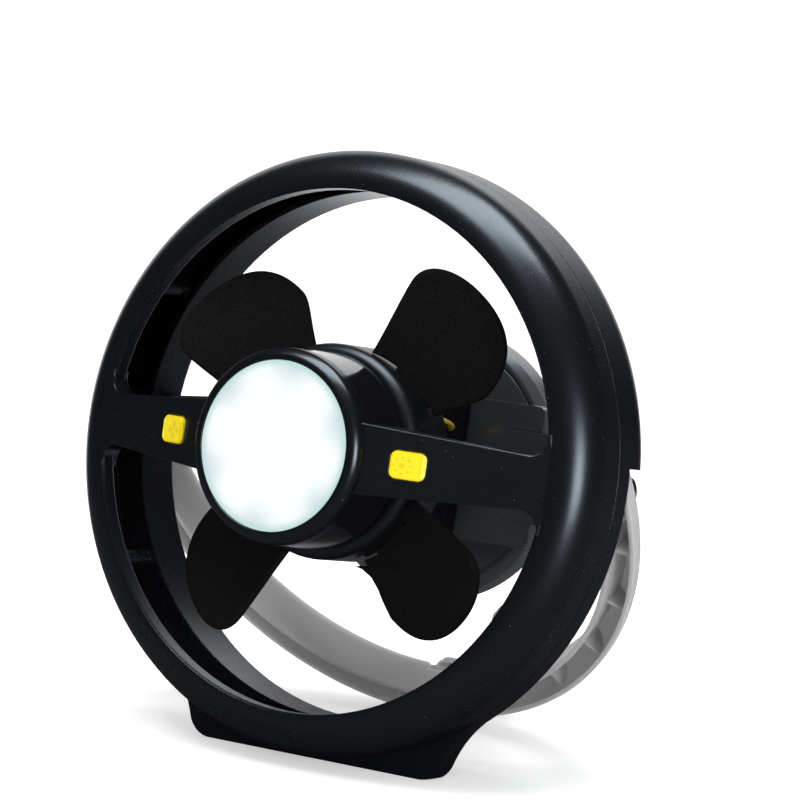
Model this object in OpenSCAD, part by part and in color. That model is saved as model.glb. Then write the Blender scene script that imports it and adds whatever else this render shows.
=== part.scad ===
// Portable camping fan with a front lamp.
//
// A round ring frame carries everything. A sloping bar crosses its front and holds the lamp
// and the two push buttons. Two rear arms hold the flat battery pod, and the motor stands on
// the pod and turns a hub with four soft blades inside the ring. A half-ring stand swings out
// of the back of the ring, so the fan leans back on its foot and on the stand.
//
// Every piece is drawn in the fan's own frame: X to the right seen from the front, Y up the
// ring, Z forward along the fan's axis, with the centre of the ring's nose at z = 0.
// lean_back() then stands the fan on its sole and its stand, with the origin at the middle
// of the sole.

/* [Ring] */
// Outer radius of the ring
ring_r = 108; // [100:0.5:116]
// Radius of the rounded nose of the ring
nose_r = 14.2; // [12:0.2:16]
// Wall thickness of the ring shells
ring_wall = 2.2; // [1.8:0.1:2.6]
// Depth of the seam between front and rear shell, behind the nose centre
seam_z = 9.6; // [8:0.2:11]
// Depth at which the lower half of the ring ends, in front of the folded stand
low_edge_z = 17.2; // [16.4:0.1:18]
// Depth at which the round back of the upper half starts
back_round_z = 22.4; // [21:0.2:24]
// Radius of the rounding at the back of the upper half
back_round = 9.8; // [8:0.2:10.6]
// Width of the rear of the ring, from outside to inside
rim_w = 13.2; // [12.8:0.1:13.8]
// Wall thickness of the rear band
band_wall = 1.8; // [1.4:0.1:2]
// Height above the pivot at which the upper half of the rear shell ends
shell_end_y = 9.4; // [9.2:0.2:12]

/* [Foot] */
// How far the front edge of the sole lies below the ring
foot_below = 1.8; // [1.2:0.1:4]
// Half the width of the flat of the sole
foot_flat = 45; // [38:0.5:50]
// Thickness of the foot from front to back
foot_t = 7.2; // [6:0.1:7.3]
// Radius of the two lower corners of the foot
foot_corner = 10; // [6:0.5:12]
// Radius of the hollow blend between foot and ring
foot_blend = 40; // [20:1:50]

/* [Front bar] */
// Height of the bar at the lamp
bar_h_hub = 24.4; // [22:0.2:26]
// Height of the bar where it meets the ring
bar_h_rim = 17.8; // [16:0.2:20]
// Height in front of the nose centre that the bar would reach on the fan's axis
bar_peak_z = 55; // [53:0.2:55.4]
// Plane of the back of the bar, in front of the nose centre
bar_back_z = 15.6; // [15.2:0.1:16.4]
// Wall thickness of the bar
bar_wall = 2; // [1.6:0.1:2.4]
// Radius of the blends between bar and ring
bar_blend = 7; // [4:0.5:9]

/* [Lamp] */
// Outer radius of the lamp housing at its back
lamp_r = 35.2; // [34.8:0.1:36]
// How far the bezel lies inside the back of the housing
bezel_in = 0.5; // [0.4:0.1:1]
// Width of the bezel round the lens
bezel_w = 4.8; // [4.7:0.1:5.4]
// Rounding radius of the bezel's front edge
bezel_round = 4.5; // [3.5:0.1:5]
// Front of the bezel's rounding, where the lens begins
lamp_front_z = 44.2; // [43.4:0.2:46]
// How far the lens bulges
lens_bulge = 1; // [0.6:0.1:1.6]
// Number of light diodes around the middle one
led_count = 6; // [4:1:8]
// Radius of the circle of light diodes
led_circle = 17; // [14:0.5:20]

/* [Buttons] */
// Distance of the buttons from the fan's axis
btn_x = 49.3; // [47:0.1:53]
// Button length along the bar
btn_w = 12.6; // [11:0.2:13.6]
// Button height across the bar
btn_h = 9.6; // [8:0.2:10.4]
// Corner radius of the buttons
btn_corner = 2.4; // [1.5:0.1:3]
// How far the buttons stand proud of the bar
btn_proud = 1.3; // [1.1:0.1:2]
// Button travel
btn_travel = 1; // [0.6:0.1:1.1]

/* [Rotor] */
// Outer radius of the hub
hub_r = 38.5; // [37:0.5:39]
// Front face of the hub, in front of the nose centre
hub_front_z = 12.8; // [12:0.2:13.2]
// Length of the hub from front to back
hub_len = 22.8; // [20:0.2:23]
// Rounding radius of the hub's front edge
hub_round = 4; // [2:0.2:5]
// Wall thickness of the hub
hub_wall = 4; // [3:0.2:5]
// Blade tip radius
tip_r = 80.4; // [76:0.2:82]
// Blade thickness
blade_t = 2.6; // [2:0.1:3]
// Blade pitch
pitch = 17; // [12:1:20]
// Camber radius of a blade across its width
camber_r = 220; // [160:10:400]
// Number of blades
blade_count = 4; // [3:1:5]

/* [Motor] */
// Radius of the motor can
can_r = 14; // [13:0.1:14.4]
// Front plane of the motor can, behind the nose centre
can_front_z = 12.6; // [12.4:0.2:13.6]
// Length of the motor can
can_len = 33.6; // [30:0.2:33.8]
// Radius of the motor shaft
shaft_r = 1.5; // [1:0.05:2]
// Running clearance of the shaft in its bushes
shaft_gap = 0.05; // [0.02:0.01:0.08]
// Wall thickness of the motor cradle
cradle_wall = 2.8; // [2:0.1:3.2]

/* [Battery pod] */
// Outer radius of the pod
pod_r = 50; // [49:0.5:52]
// Depth of the pod's rim face, behind the nose centre
pod_face_z = 64; // [63:0.2:65]
// Depth of the pod's seam
pod_seam_z = 68; // [67.4:0.2:69]
// Depth of the pod's back
pod_back_z = 77.2; // [77:0.2:79]
// Half the width of the raised battery block
block_half_w = 47.5; // [45:0.5:48.5]
// Height of the raised battery block
block_h = 52; // [50:0.5:54]
// Depth of the front of the battery block
block_front_z = 58; // [57.6:0.1:58.2]
// Wall thickness of the pod
pod_wall = 2; // [1.6:0.1:2.2]
// Radius of a battery cell
cell_r = 7.1; // [6.9:0.05:7.25]
// Length of a battery cell
cell_len = 49.8; // [49:0.1:50.5]
// How far the battery door slides
door_travel = 8; // [4:0.5:9]

/* [Stand] */
// How far the stand's outside lies outside the ring
stand_over = 0.4; // [0:0.1:1]
// Rounding radius of the stand's back
stand_round = 15.2; // [14.4:0.1:16]
// Depth of the stand's pivot, behind the nose centre
pivot_z = 26.6; // [26.2:0.1:27]
// Wall thickness of the stand
stand_wall = 1.8; // [1.4:0.1:2]
// How far the stand is swung out
stand_open = 36.2; // [30:0.1:38]
// Number of ribs across the stand's channel
rib_count = 12; // [8:2:16]
// Radius of the pivot pins
pivot_r = 2; // [1.6:0.1:2.4]

/* [Hook] */
// Width of the notch that holds the hanging hook
notch_w = 24; // [20:0.5:26]
// Height of the hook's tip above its hinge
hook_h = 34.3; // [28:0.1:36]
// Reach of the hook to the side, from the middle of the stand
hook_reach = 34.5; // [32:0.5:36]
// Radius of the hook's barrel
barrel_r = 2.2; // [2:0.1:2.3]

/* [Hidden] */

$fn = 96;
eps = 0.01;
fit = 0.2;          // gap between plain mating pieces
slide_gap = 0.3;    // gap round pieces that move

// Ring
nose_c = ring_r - nose_r;              // radius of the nose centre circle
band_r = ring_r - rim_w;               // inner radius of the rear band
foot_drop = ring_r + foot_below;       // from the fan's axis down to the front edge of the sole
stand_r = ring_r + stand_over;         // outer radius of the stand
lip_t = 1.4;                           // thickness of the rolled lip
seam_groove = 0.6;
lip_len = 6;                           // how far the lip runs back inside the opening
groove_web_z = seam_z + 2.8;           // front of the web that closes the lower half
groove_web_t = 2;
band_front_z = groove_web_z + 1.2;
ring_back_z = back_round_z + back_round;
boss_circle = ring_r - ring_wall - 5.2;
boss_r = 3.4;
boss_angles = [30, 90, 150, 210, 270, 330];
ring_screw_r = 1.3;
ring_head_r = 2.6;

// Bar: its front face falls in a straight slope from the lamp to the ring
bar_sink = 0.15;                       // the bar dips this far below the ring's front circle
bar_slope = (bar_peak_z - nose_r + bar_sink) / nose_c;

bar_tilt = atan(bar_slope);
blade_room_x = tip_r + 2;              // the bar keeps clear of the blades inside this
cover_t = 1.2;                         // thickness of the covers behind the arms
bar_root_z = 6;                        // how deep the bar's ends reach into the ring
function bar_z(x) = bar_peak_z - bar_slope * x;
function bar_half_h(x) = bar_h_rim / 2
    + (bar_h_hub - bar_h_rim) / 2 * (nose_c - x) / (nose_c - lamp_r);

// Lamp
bezel_r = lamp_r - bezel_in;
lens_r = bezel_r - bezel_w;
lamp_front_r = bezel_r - 0.3;
housing_front_z = lamp_front_z - bezel_round - 3.2;
housing_wall = 2.2;
board_t = 1.6;
ledge_z = housing_front_z - 5.2;
led_h = 1;
led_r = 2.6;
reflector_t = 1.6;

// Buttons and switches, measured from the bar's face along the button's axis
btn_flange_t = 1;
btn_flange_over = 1.2;
btn_stem_r = 1.6;
btn_stem_len = 0.8;
skin = bar_wall + 0.2;
flange_top = -(skin + slide_gap);
stem_end = flange_top - btn_flange_t - btn_stem_len;
switch_top = stem_end - btn_travel - 0.1;
switch_w = 5.6;
plunger_r = 1.5;
plunger_h = 0.5;
switch_h = 2.4;
switch_board_z = switch_top - plunger_h - switch_h;
switch_board_t = 1;
switch_board_w = 13;
ledge_w = 1.6;

// Rotor and motor
hub_back_z = hub_front_z - hub_len;
hub_face_t = 2.5;
hub_boss_r = 5.5;
boss_back_z = can_front_z - 2.6;       // depth of the back of the hub's boss
hub_rib_t = 1.6;
hub_rib_h = 8;
armature_r = 9.4;
blade_z = 0.5;
root_r = hub_r + 0.7;
tab_half_w = 9;
tab_gap = 0.15;
can_back_z = can_front_z + can_len;
can_wall = 1;
bush_r = 4;
bush_len = 3.6;
cap_t = 1.4;
column_w = 32;
column_h = 50;
column_t = 24;
lead_r = 0.8;
column_z = block_front_z - column_t;   // depth of the column's front
lead_bend = 3.8;
lead_at = [column_w / 2 - 1.2, 15, column_z + 8];    // middle of a lead's bow, behind the nose
lead_tilt = 66;

// Pod
pod_bevel = 3;
cell_pitch = 2 * cell_r + 0.6;
cell_z = block_front_z + pod_wall + cell_r + 0.15;
bay_half_l = cell_len / 2 + 1.3;
door_t = 1.6;
door_w = 60;
door_h = 50;
door_lap = 2;
tongue_w = 1.2;
tongue_t = 0.7;
socket_x = 33;
socket_h = 33;
socket_t = 1.6;
pod_screw_circle = 43.6;
pod_screw_angles = [52, 128, 214, 326];
pod_screw_r = 1.3;
pod_head_r = 2.6;

// Stand
stand_front_z = low_edge_z + 0.4;
stand_inner_front_z = groove_web_z + groove_web_t + 1.7;
stand_inner_r = band_r + band_wall + 0.8;
stand_round_r = stand_r - stand_round;         // circle of the centres of the stand's rounding
stand_round_z = stand_front_z + 1.2;           // depth of that circle
stand_end_y = -12;                             // inner wall and ribs start below this
lug_half_h = 6.5;
lug_x0 = stand_inner_r + 1.6;
lug_x1 = lug_x0 + 4;
tab_x0 = lug_x1 + 0.3;
tab_r = pivot_z - stand_front_z;               // rounded end of the stand about its pivot
pin_x1 = stand_r - 3;

// Hook: hinged at the back of the stand, with a base along the stand and an upturned tip
notch_x = 7.2;                                 // middle of the notch
hook_z = 34.6;                                 // depth of the hinge when folded
hook_below = 4.8;                              // hinge below the stand's inner wall
hook_hinge_y = -stand_inner_r - hook_below;
hook_pin_r = 1.1;
hook_t = 3;
hook_w = 10;
hook_base_h = 3.4;                             // top of the base above the hinge
hook_corner = 4;
cheek_t = 1.8;

// Lean: the line from the front edge of the sole to the stand's lowest edge is the floor
touch_y = stand_r * cos(stand_open) + (pivot_z - stand_front_z) * sin(stand_open);
touch_z = pivot_z + stand_r * sin(stand_open) - (pivot_z - stand_front_z) * cos(stand_open);
lean = atan((foot_drop - touch_y) / (touch_z - seam_z));
sole_len = foot_t / cos(lean);

// ---------------------------------------------------------------- frames

// From the fan's own frame to the floor
module lean_back()
    translate([0, foot_drop * sin(lean) - seam_z * cos(lean) - sole_len / 2,
               foot_drop * cos(lean) + seam_z * sin(lean)])
    rotate([90 - lean, 0, 0])
    children();

// From the folded stand to the stand swung out
module swing_out()
    translate([0, 0, -pivot_z]) rotate([stand_open, 0, 0]) translate([0, 0, pivot_z])
    children();

// On the bar's face at a button; side is 1 on the right and -1 on the left
module on_bar(side)
    translate([side * btn_x, 0, bar_z(btn_x)]) rotate([0, side * bar_tilt, 0]) children();

// Along the X axis through the stand's pivot, from x0 outwards on one side
module on_pivot(side, x0) translate([side * x0, 0, -pivot_z]) rotate([0, side * 90, 0]) children();

// ---------------------------------------------------------------- small shapes

module rounded_rect(w, h, r) {
    square([w - 2 * r, h], center = true);
    square([w, h - 2 * r], center = true);
    for (sx = [-1, 1], sy = [-1, 1])
        translate([sx * (w / 2 - r), sy * (h / 2 - r)]) circle(r, $fn = 48);
}

// Plate between two depths behind the nose centre, back deeper than front
module slab(front, back) translate([0, 0, -back]) linear_extrude(back - front) children();

// Quarter of a ring section, outer radius r, inner radius ri, towards +x and +y
module quarter(r, ri = 0) intersection() {
    difference() { circle(r); if (ri > 0) circle(ri); }
    square(r + 1);
}

// Ring turned from a rectangle: radii r0 to r1, between two depths
module hoop(r0, r1, front, back)
    translate([0, 0, -back]) difference() {
        cylinder(r = r1, h = back - front);
        translate([0, 0, -1]) cylinder(r = r0, h = back - front + 2);
    }

// Rectangle from the axis out to r, between two heights
module square_to(r, z0, z1) translate([0, z0]) square([r, z1 - z0]);

function bez(a, b, c, d, t) = pow(1 - t, 3) * a + 3 * t * pow(1 - t, 2) * b
    + 3 * t * t * (1 - t) * c + pow(t, 3) * d;
function curve(a, b, c, d, n) = [for (i = [0 : n - 1]) bez(a, b, c, d, i / n)];

// ---------------------------------------------------------------- ring

module nose_section() {
    translate([nose_c, 0]) quarter(nose_r, nose_r - ring_wall);
    // the wall stands back at the seam, which leaves a fine groove round the ring
    translate([ring_r - ring_wall, -seam_z]) square([ring_wall - seam_groove, seam_groove]);
    translate([ring_r - ring_wall, -seam_z + seam_groove]) square([ring_wall, seam_z - seam_groove]);
    translate([nose_c - lip_t / 2, nose_r - lip_len]) square([lip_t, lip_len - 0.3]);
}

// One arm of the front bar, shrunk by inset on every side but the back
module lamp_cone(h, grow = 0) translate([0, 0, bar_back_z])
    cylinder(r1 = lamp_r + grow, r2 = lamp_r + grow - (lamp_r - lamp_front_r) * h / (housing_front_z - bar_back_z), h = h, $fn = 120);

module bar_arm(inset) intersection() {
    rotate([90, 0, 0]) linear_extrude(4 * bar_h_hub, center = true) polygon([
        [lamp_r - 6, bar_z(lamp_r - 6) - 1.1 * inset],
        [nose_c + 1.4 - 4 * inset, bar_z(nose_c + 1.4 - 4 * inset) - 1.1 * inset],
        [nose_c + 1.4 - 4 * inset, bar_root_z],
        [blade_room_x + 1 + inset, bar_root_z],
        [blade_room_x - 1 - inset, bar_back_z - (inset > 0 ? 1 : 0)],
        [lamp_r - 6, bar_back_z - (inset > 0 ? 1 : 0)],
    ]);
    linear_extrude(bar_peak_z) bar_outline(inset);
}

// Arm seen from the front; only its outside has the blends up to the ring's opening
module bar_outline(inset) {
    polygon([
        [lamp_r - 6, -bar_half_h(lamp_r - 6) + inset], [nose_c + 3, -bar_half_h(nose_c + 3) + inset],
        [nose_c + 3, bar_half_h(nose_c + 3) - inset], [lamp_r - 6, bar_half_h(lamp_r - 6) - inset],
    ]);
    cy = bar_half_h(nose_c - bar_blend) + bar_blend - 0.2;
    cx = sqrt(pow(nose_c - bar_blend, 2) - cy * cy);
    grow = (nose_c + 0.6) / (nose_c - bar_blend);
    if (inset == 0) for (up = [0, 1]) mirror([0, up]) difference() {
        polygon([[cx, cy - bar_blend - 2], [nose_c + 0.6, cy - bar_blend - 2],
                 [cx * grow, cy * grow], [cx, cy]]);
        translate([cx, cy]) circle(bar_blend, $fn = 64);
    }
}

module screw_boss(angle, front, back)
    rotate([0, 0, angle]) translate([boss_circle, 0, -back]) cylinder(r = boss_r, h = back - front, $fn = 48);

module front_shell() color([0.03, 0.035, 0.05]) lean_back() difference() {
    union() {
        rotate_extrude($fn = 180) nose_section();
        for (a = boss_angles) intersection() {
            screw_boss(a, -nose_r, seam_z);
            rotate_extrude($fn = 180) {
                translate([nose_c, 0]) quarter(nose_r - ring_wall / 2);
                translate([nose_c, -seam_z]) square([nose_r - ring_wall / 2, seam_z]);
            }
        }
        for (side = [0, 1]) mirror([side, 0, 0]) difference() {
            union() {
                difference() { bar_arm(0); bar_arm(bar_wall); }
                intersection() {
                    bar_arm(0);
                    on_bar(1) for (sy = [-1, 1])
                        translate([0, sy * (bar_half_h(btn_x) - bar_wall - ledge_w / 2), switch_board_z / 2])
                        cube([switch_board_w, ledge_w + 1, -switch_board_z], center = true);
                }
            }
            lamp_cone(bar_peak_z);
            translate([0, 0, housing_front_z - 0.1]) cylinder(r = bezel_r + 0.1, h = bar_peak_z, $fn = 120);
            on_bar(1) translate([0, 0, -skin - 1]) linear_extrude(2 * skin + 1)
                rounded_rect(btn_w + 2 * slide_gap, btn_h + 2 * slide_gap, btn_corner + slide_gap);
        }
    }
    for (a = boss_angles) rotate([0, 0, a]) translate([boss_circle, 0, -seam_z - 1])
        cylinder(r = ring_screw_r, h = 11, $fn = 32);
}

// Outline of the upper half of the rear shell, solid
module back_section() {
    translate([ring_r - back_round, -back_round_z]) mirror([0, 1]) quarter(back_round);
    translate([band_r, -ring_back_z]) square([ring_r - back_round - band_r, ring_back_z - band_front_z]);
    translate([band_r, -back_round_z]) square([ring_r - band_r, back_round_z - band_front_z]);
    translate([ring_r - ring_wall, -back_round_z]) square([ring_wall, back_round_z - seam_z]);
}

// Hollow inside that outline, open to the front
module back_hollow() {
    r = back_round - ring_wall;
    translate([ring_r - back_round, -back_round_z]) mirror([0, 1]) quarter(r);
    translate([band_r + band_wall, -ring_back_z + ring_wall])
        square([ring_r - back_round - band_r - band_wall, ring_back_z - ring_wall]);
    translate([band_r + band_wall, -back_round_z])
        square([ring_r - ring_wall - band_r - band_wall, back_round_z]);
}

// Foot seen from the front: a hollow blend runs from each rounded corner up to the ring
module foot_outline() {
    corner = [foot_flat, -foot_drop + foot_corner];
    blend_r = ring_r + foot_blend;
    swing = acos((blend_r * blend_r + corner * corner - pow(foot_blend + foot_corner, 2))
                 / (2 * blend_r * norm(corner)));
    aim = atan2(corner[1], corner[0]) + swing;
    centre = blend_r * [cos(aim), sin(aim)];
    difference() {
        union() {
            translate([-foot_flat, -foot_drop]) square([2 * foot_flat, foot_drop - 80]);
            for (side = [0, 1]) mirror([side, 0]) {
                translate(corner) circle(foot_corner, $fn = 64);
                difference() {
                    polygon([corner, centre, centre * (ring_r - 1) / blend_r, [foot_flat, -80]]);
                    translate(centre) circle(foot_blend, $fn = 96);
                }
            }
        }
        circle(ring_r - ring_wall / 2, $fn = 180);
    }
}

module foot() difference() {
    slab(seam_z, seam_z + foot_t) foot_outline();
    // the sole is cut to the angle at which the fan leans back
    translate([0, -foot_drop, -seam_z]) rotate([lean, 0, 0])
        translate([-foot_flat - 30, -40, -60]) cube([2 * foot_flat + 60, 40, 120]);
}

module pivot_lug(side) difference() {
    union() {
        on_pivot(side, lug_x0) cylinder(r = lug_half_h, h = lug_x1 - lug_x0, $fn = 64);
        translate([side > 0 ? lug_x0 : -lug_x1, -lug_half_h, -pivot_z])
            cube([lug_x1 - lug_x0, 2 * lug_half_h, pivot_z - groove_web_z - 1]);
    }
    on_pivot(side, lug_x0 + 1.5) cylinder(r = pivot_r, h = lug_x1 - lug_x0, $fn = 48);
}

module rear_shell() color([0.03, 0.035, 0.05]) lean_back() difference() {
    big = 2 * ring_r + 10;
    union() {
        // upper half, closed at its two ends
        intersection() {
            rotate_extrude($fn = 180) back_section();
            translate([-big / 2, shell_end_y, -60]) cube([big, big, 60]);
        }
        // lower half: outer wall, web and band
        intersection() {
            union() {
                hoop(ring_r - ring_wall, ring_r, seam_z, low_edge_z);
                hoop(band_r, ring_r - ring_wall / 2, groove_web_z, groove_web_z + groove_web_t);
                hoop(band_r, band_r + band_wall, groove_web_z, ring_back_z);
            }
            translate([-big / 2, -big, -60]) cube([big, big + shell_end_y + eps, 60]);
        }
        foot();
        for (side = [-1, 1]) pivot_lug(side);
        for (a = [210, 270, 330]) intersection() {
            screw_boss(a, seam_z, groove_web_z + 1);
            cylinder(r = ring_r, h = 100, center = true);
        }
    }
    difference() {
        intersection() {
            rotate_extrude($fn = 180) back_hollow();
            translate([-big / 2, shell_end_y + ring_wall, -60]) cube([big, big, 61]);
        }
        for (a = [30, 90, 150]) screw_boss(a, seam_z, ring_back_z);
    }
    for (a = boss_angles) rotate([0, 0, a]) {
        translate([boss_circle, 0, -ring_back_z - 1]) cylinder(r = ring_screw_r, h = ring_back_z, $fn = 32);
        if (sin(a) > 0) translate([boss_circle, 0, -ring_back_z - 1])
            cylinder(r = ring_head_r + fit, h = ring_back_z + 1 - groove_web_z - groove_web_t, $fn = 48);
    }
}

module ring_screws() color([0.5, 0.5, 0.52]) lean_back() for (a = boss_angles)
    rotate([0, 0, a]) translate([boss_circle, 0, -groove_web_z - groove_web_t]) {
        cylinder(r = ring_screw_r, h = 10.5, $fn = 32);
        translate([0, 0, -1.4]) difference() {
            cylinder(r = ring_head_r - 0.2, h = 1.4, $fn = 48);
            for (q = [0, 90]) rotate([0, 0, q]) translate([-1.5, -0.3, -0.5]) cube([3, 0.6, 1.1]);
        }
    }

// ---------------------------------------------------------------- rear arms

// Side profile of a rear arm: from the socket in the battery block out to the ring's band
module arm_profile(inset) polygon([
    [socket_x + 2 * inset, -block_front_z - inset],
    [block_half_w + 2.5 + inset, -block_front_z - inset],
    [band_r - 2.2, -ring_back_z + 7.2 - 1.6 * inset],
    [band_r + 3, -ring_back_z + 7.2 - 1.6 * inset],
    [band_r + 3, -ring_back_z - (inset > 0 ? 3 : 0)],
    [band_r - 4, -ring_back_z - 1.4 - (inset > 0 ? 3 : 0)],
    [block_half_w + 7, -pod_face_z - (inset > 0 ? 3 : 0)],
    [block_half_w + (inset > 0 ? 4 : 0), -pod_face_z - (inset > 0 ? 3 : 0)],
    [block_half_w + (inset > 0 ? 4 : 0), -block_front_z - socket_t - abs(inset)],
    [socket_x + 2 * inset, -block_front_z - socket_t - abs(inset)],
]);

module arm_outline(inset) {
    half = socket_h / 2 - inset;
    x1 = block_half_w + 5;
    rim_half = 10 - inset;
    difference() {
        polygon([[socket_x, -half], [x1, -half], [band_r + 3, -rim_half],
                 [band_r + 3, rim_half], [x1, half], [socket_x, half]]);
        for (sy = [-1, 1]) difference() {
            translate([socket_x - 1, sy > 0 ? half - 3 : -half - 1]) square([4, 4]);
            translate([socket_x + 3, sy * (half - 3)]) circle(3, $fn = 48);
        }
    }
}

module arm_body(inset) intersection() {
    rotate([90, 0, 0]) linear_extrude(60, center = true) arm_profile(inset);
    translate([0, 0, -100]) linear_extrude(100) arm_outline(inset);
}

module rear_arm(side) color([0.04, 0.045, 0.055]) lean_back() mirror([side > 0 ? 0 : 1, 0, 0])
    intersection() {
        difference() {
            arm_body(0);
            intersection() {
                arm_body(2);
                translate([block_half_w + 4, -50, -100]) cube([band_r - block_half_w - 9, 100, 100]);
            }
        }
        translate([0, 0, -100]) cylinder(r = band_r - 0.02, h = 100, $fn = 180);
    }

// ---------------------------------------------------------------- lamp

module lamp_housing() color([0.05, 0.055, 0.065]) lean_back() difference() {
    h = housing_front_z - bar_back_z;
    lamp_cone(h);
    translate([0, 0, bar_back_z - 1]) cylinder(r = lamp_front_r - housing_wall - 2.4, h = h + 2, $fn = 120);
    translate([0, 0, bar_back_z - 1]) cylinder(r = lamp_front_r - housing_wall, h = ledge_z - bar_back_z, $fn = 120);
    translate([0, 0, ledge_z]) cylinder(r = lamp_front_r - housing_wall, h = h, $fn = 120);
}

module lamp_back() color([0.03, 0.03, 0.04]) lean_back() difference() {
    union() {
        translate([0, 0, bar_back_z]) cylinder(r = lamp_front_r - housing_wall - fit / 2, h = 2, $fn = 120);
        translate([0, 0, bar_back_z]) hoop_up(hub_boss_r + 4, hub_boss_r + 6, 5);
    }
    translate([0, 0, bar_back_z - 1]) cylinder(r = 3, h = 10, $fn = 48);
}

module hoop_up(r0, r1, h) difference() {
    cylinder(r = r1, h = h);
    translate([0, 0, -1]) cylinder(r = r0, h = h + 2);
}

module bezel() color([0.02, 0.022, 0.03]) lean_back() rotate_extrude($fn = 180) {
    z0 = housing_front_z;
    zr = lamp_front_z - bezel_round;
    lip = bezel_r - bezel_round;
    translate([lip, zr]) quarter(bezel_round);
    translate([lens_r + 0.1, zr]) square([lip - lens_r - 0.1, bezel_round - 0.4]);
    translate([lens_r + 1.7, z0]) square([bezel_r - lens_r - 1.7, zr - z0]);
}

// Milky cover of the lamp, with a step that the bezel holds
module lens() color([0.93, 0.97, 1]) lean_back() rotate_extrude($fn = 180) polygon(concat(
    [[0, housing_front_z + 0.6], [lens_r + 1.5, housing_front_z + 0.6],
     [lens_r + 1.5, lamp_front_z - bezel_round - 0.1], [lens_r, lamp_front_z - bezel_round - 0.1]],
    [for (i = [0 : 10]) let(x = lens_r * (1 - i / 10))
        [x, lamp_front_z - 0.3 + lens_bulge * (1 - pow(x / lens_r, 2))]]));

module led_spots() {
    children();
    for (i = [0 : led_count - 1]) rotate([0, 0, 360 / led_count * i]) translate([led_circle, 0, 0]) children();
}

module reflector() color([0.95, 0.95, 0.93]) lean_back() difference() {
    z0 = ledge_z + board_t + led_h + 0.2;
    translate([0, 0, z0]) cylinder(r = lamp_front_r - housing_wall - fit / 2, h = reflector_t, $fn = 120);
    led_spots() translate([0, 0, z0 - eps]) cylinder(r1 = led_r + 0.4, r2 = led_r + 2.6, h = reflector_t + 0.1, $fn = 48);
}

module led_board() color([0.9, 0.92, 0.9]) lean_back() translate([0, 0, ledge_z])
    cylinder(r = lamp_front_r - housing_wall - fit / 2, h = board_t, $fn = 120);

module leds() color([1, 0.93, 0.5]) lean_back() led_spots() translate([0, 0, ledge_z + board_t])
    cylinder(r = led_r, h = led_h, $fn = 32);

// ---------------------------------------------------------------- buttons

module arm_cover(side) color([0.03, 0.03, 0.04]) lean_back() mirror([side > 0 ? 0 : 1, 0, 0]) difference() {
    x0 = lamp_r + 0.3;
    x1 = min(blade_room_x - 4.5,
             (bar_peak_z - 1.1 * bar_wall - bar_back_z - cover_t - fit) / bar_slope);
    inset = bar_wall + fit / 2;
    translate([0, 0, bar_back_z]) linear_extrude(cover_t) polygon([
        [x0 - 0.2, -bar_half_h(x0) + inset], [x1, -bar_half_h(x1) + inset],
        [x1, bar_half_h(x1) - inset], [x0 - 0.2, bar_half_h(x0) - inset]]);
    translate([0, 0, bar_back_z - 1]) cylinder(r = lamp_r, h = 4);
}

module switch_boards() color([0.05, 0.3, 0.15]) lean_back() for (side = [-1, 1]) on_bar(side)
    translate([0, 0, switch_board_z - switch_board_t / 2])
    cube([switch_board_w, 2 * (bar_half_h(btn_x) - bar_wall - fit), switch_board_t], center = true);

module switches() color([0.15, 0.15, 0.16]) lean_back() for (side = [-1, 1]) on_bar(side) {
    translate([0, 0, switch_board_z + switch_h / 2]) cube([switch_w, switch_w, switch_h], center = true);
    translate([0, 0, switch_board_z + switch_h - eps]) cylinder(r = plunger_r, h = plunger_h + eps, $fn = 32);
}

module button(side) color([0.95, 0.8, 0.05]) lean_back() on_bar(side) {
    edge = 0.6;
    translate([0, 0, flange_top - eps]) linear_extrude(btn_proud - edge - flange_top + eps)
        rounded_rect(btn_w, btn_h, btn_corner);
    translate([0, 0, btn_proud - edge - eps]) linear_extrude(edge + eps)
        rounded_rect(btn_w - 2 * edge, btn_h - 2 * edge, btn_corner - edge);
    translate([0, 0, flange_top - btn_flange_t]) linear_extrude(btn_flange_t)
        rounded_rect(btn_w + 2 * btn_flange_over, btn_h + 2 * btn_flange_over, btn_corner);
    translate([0, 0, stem_end]) cylinder(r = btn_stem_r, h = btn_stem_len + 0.1, $fn = 32);
}

// ---------------------------------------------------------------- rotor

// A blade lies along X, with Y across it towards the trailing edge
module blade_frame(i) rotate([0, 0, 45 + 360 / blade_count * i]) translate([0, 0, blade_z])
    rotate([pitch, 0, 0]) children();

// The outline ends in a tab that is clamped in a slot of the hub
function blade_outline() = let(
    r = root_r,
    t = tip_r,
    lead = r * [cos(29), sin(29)],
    trail = r * [cos(-19), sin(-19)]
) concat(
    curve(lead, [r + 6, 22.2], [t - 26, 26], [t - 17, 28.5], 6),
    curve([t - 17, 28.5], [t - 8, 31], [t - 1.6, 22], [t - 0.6, 10], 10),
    curve([t - 0.6, 10], [t + 0.6, -4], [t - 4, -16.6], [t - 21.5, -19.6], 12),
    curve([t - 21.5, -19.6], [t - 26, -20.4], [r + 9, -16], trail, 6),
    [trail, r * [cos(-16), sin(-16)]],
    [[sqrt(r * r - tab_half_w * tab_half_w), -tab_half_w], [hub_r - hub_wall, -tab_half_w],
     [hub_r - hub_wall, tab_half_w], [sqrt(r * r - tab_half_w * tab_half_w), tab_half_w]],
    [for (a = [16 : 8 : 24]) r * [cos(a), sin(a)]]
);

module blade_sheet(t) translate([0, 0, camber_r]) rotate([0, -90, 0]) mirror([0, 0, 1]) difference() {
    cylinder(r = camber_r + t / 2, h = tip_r + 5, $fn = 240);
    translate([0, 0, -1]) cylinder(r = camber_r - t / 2, h = tip_r + 7, $fn = 240);
}

module blade(i) color([0.02, 0.02, 0.022]) lean_back() blade_frame(i) intersection() {
    blade_sheet(blade_t);
    translate([0, 0, -hub_len]) linear_extrude(2 * hub_len) polygon(blade_outline());
}

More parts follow.
